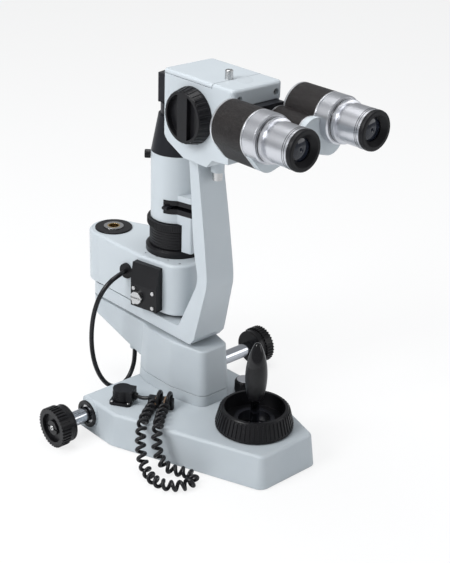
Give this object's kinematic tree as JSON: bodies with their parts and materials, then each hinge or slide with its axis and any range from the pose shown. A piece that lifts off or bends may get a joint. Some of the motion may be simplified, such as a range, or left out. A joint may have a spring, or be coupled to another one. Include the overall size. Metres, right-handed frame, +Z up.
{
  "type": "slit lamp",
  "caption": "Slit lamp head: twin-eyepiece microscope and swinging lamp tower on one pivot column, on a joystick cross-slide base with a wheeled shaft.",
  "frame": {"origin": "on the table plane, under the middle of the part's box without its cords: x 0 is midway between the wheels, y 0 midway between eyepieces and the back of the lamp housing", "axes": "+Z up, +X along the wheel shaft to the operator's right, -Y towards the operator; the swing axis stands at y 0.1205"},
  "size_m": [0.242, 0.2841, 0.322],
  "materials": {
    "grey_paint": "smooth satin enamel, pale cool grey",
    "black_plastic": "matte black",
    "gloss_black": "glossy black",
    "black_anodised": "black anodised, satin",
    "bare_aluminium": "brushed",
    "leatherette": "dark brown-black grained leatherette on metal",
    "chrome": "polished",
    "steel": "ground",
    "brass": "turned",
    "bronze": "turned bronze",
    "black_rubber": "soft matte black",
    "cord_black": "smooth black jacket",
    "nylon": "white nylon",
    "coated_lens": "coated optical glass",
    "bulb_glass": "clear quartz glass on a metal base"
  },
  "bodies": {
    "base": {"base_housing": "grey_paint", "axle_bushes": "black_plastic", "bottom_plate": "black_anodised", "glide_shoe": "nylon", "lift_belt": "black_rubber", "guide_rods": "steel", "column_plinth": "grey_paint", "connector_socket": "black_plastic", "cable_plug": "black_plastic", "cable_clip": "black_plastic", "lead_cable": "cord_black", "curly_cord": "cord_black"},
    "sleeves": {"slide_sleeves": "steel"},
    "axle": {"axle_shaft": "chrome", "wheels": "black_plastic", "hub_screws": "steel"},
    "gimbal": {"gimbal_ring": "steel"},
    "joystick": {"joystick_rod": "chrome", "joystick_grip": "gloss_black"},
    "height_ring": {"height_ring": "black_plastic"},
    "lift_screw": {"lift_screw": "steel"},
    "column": {"column_housing": "grey_paint", "lift_carriage": "bronze", "swing_spindle": "steel", "rod_socket": "brass"},
    "lock_knob": {"lock_knob": "black_plastic"},
    "microscope": {"microscope_arm": "grey_paint", "changer_housing": "grey_paint", "changer_cover": "grey_paint", "objective_mount": "black_anodised", "objective_lens": "coated_lens", "housing_screws": "steel", "binocular_plate": "black_anodised"},
    "magnification": {"magnification_drum": "black_anodised", "magnification_knobs": "black_plastic"},
    "right_prism": {"right_prism_housing": "leatherette", "right_eyepiece_cap": "bare_aluminium"},
    "left_prism": {"left_prism_housing": "leatherette", "left_eyepiece_cap": "bare_aluminium"},
    "right_diopter": {"right_diopter_ring": "bare_aluminium", "right_eyecup": "black_rubber"},
    "left_diopter": {"left_diopter_ring": "bare_aluminium", "left_eyecup": "black_rubber"},
    "lamp_unit": {"lamp_housing": "grey_paint", "lamp_floor_plate": "black_anodised", "boss_cap": "black_plastic", "lamp_bulb": "bulb_glass", "cable_grommet": "black_rubber", "control_box": "black_plastic", "control_screws": "steel", "tower_base": "black_anodised", "lamp_tower": "grey_paint", "filter_case": "black_plastic", "prism_cone": "black_anodised", "prism_head": "black_anodised", "lamp_cable": "cord_black"},
    "slit_ring": {"slit_ring": "black_plastic"},
    "aperture_ring": {"aperture_ring": "black_plastic"},
    "filter_lever": {"filter_lever": "black_anodised"},
    "tower_knob": {"tower_knob": "black_plastic"}
  },
  "joints": [
    {"name": "shaft_turn", "type": "hinge", "parent": "base", "child": "sleeves", "pos_m": [0, 0.0493, 0.0174], "axis": [1, 0, 0], "continuous": true},
    {"name": "shaft_slide", "type": "slide", "parent": "sleeves", "child": "axle", "axis": [1, 0, 0], "range_m": [-0.052, 0.0195]},
    {"name": "stick_fore_aft", "type": "hinge", "parent": "base", "child": "gimbal", "pos_m": [0, -0.0681, 0.022], "axis": [1, 0, 0], "range_deg": [-12, 12]},
    {"name": "stick_sideways", "type": "hinge", "parent": "gimbal", "child": "joystick", "pos_m": [0, -0.0681, 0.022], "axis": [0, 1, 0], "range_deg": [-12, 12]},
    {"name": "column_lift", "type": "slide", "parent": "base", "child": "column", "axis": [0, 0, 1], "range_m": [0, 0.025]},
    {"name": "ring_turn", "type": "hinge", "parent": "base", "child": "height_ring", "pos_m": [0, -0.0681, 0.03], "axis": [0, 0, 1], "range_deg": [0, 760]},
    {"name": "screw_turn", "type": "hinge", "parent": "base", "child": "lift_screw", "pos_m": [0, 0.0205, 0.03], "axis": [0, 0, 1], "range_deg": [0, 1810]},
    {"name": "lock_turn", "type": "hinge", "parent": "base", "child": "lock_knob", "pos_m": [0.031, -0.0225, 0.035], "axis": [0, 0, 1], "range_deg": [0, 120]},
    {"name": "microscope_swing", "type": "hinge", "parent": "column", "child": "microscope", "pos_m": [0, 0.1205, 0.09], "axis": [0, 0, 1], "range_deg": [-35, 90]},
    {"name": "magnification_turn", "type": "hinge", "parent": "microscope", "child": "magnification", "pos_m": [0, -0.0125, 0.286], "axis": [1, 0, 0], "continuous": true},
    {"name": "right_eye_width", "type": "hinge", "parent": "microscope", "child": "right_prism", "pos_m": [0.0137, -0.0695, 0.286], "axis": [0, 1, 0], "range_deg": [-37.7, 11.3]},
    {"name": "left_eye_width", "type": "hinge", "parent": "microscope", "child": "left_prism", "pos_m": [-0.0137, -0.0695, 0.286], "axis": [0, 1, 0], "range_deg": [-11.3, 37.7]},
    {"name": "right_focus", "type": "hinge", "parent": "right_prism", "child": "right_diopter", "pos_m": [0.0362, -0.1195, 0.295], "axis": [0, 1, 0], "range_deg": [-120, 120]},
    {"name": "left_focus", "type": "hinge", "parent": "left_prism", "child": "left_diopter", "pos_m": [-0.0362, -0.1195, 0.295], "axis": [0, 1, 0], "range_deg": [-120, 120]},
    {"name": "lamp_swing", "type": "hinge", "parent": "column", "child": "lamp_unit", "pos_m": [0, 0.1205, 0.12], "axis": [0, 0, 1], "range_deg": [-103, 77], "deforming": ["lamp_cable"]},
    {"name": "slit_width", "type": "hinge", "parent": "lamp_unit", "child": "slit_ring", "pos_m": [0.01568, 0.05259, 0.16], "axis": [0, 0, 1], "range_deg": [0, 180]},
    {"name": "aperture_turn", "type": "hinge", "parent": "lamp_unit", "child": "aperture_ring", "pos_m": [0.01568, 0.05259, 0.17], "axis": [0, 0, 1], "range_deg": [0, 300]},
    {"name": "filter_turn", "type": "hinge", "parent": "lamp_unit", "child": "filter_lever", "pos_m": [0.01568, 0.05259, 0.189], "axis": [0, 0, 1], "range_deg": [0, 50]},
    {"name": "tower_knob_turn", "type": "hinge", "parent": "lamp_unit", "child": "tower_knob", "pos_m": [0.01568, 0.05259, 0.228], "axis": [-0.7314, 0.682, 0], "range_deg": [0, 90]}
  ],
  "couplings": [
    {"joint": "screw_turn", "follows": "column_lift", "rad_per_m": 1256.6},
    {"joint": "ring_turn", "follows": "column_lift", "rad_per_m": 527.17},
    {"joint": "left_eye_width", "follows": "right_eye_width", "ratio": -1}
  ]
}
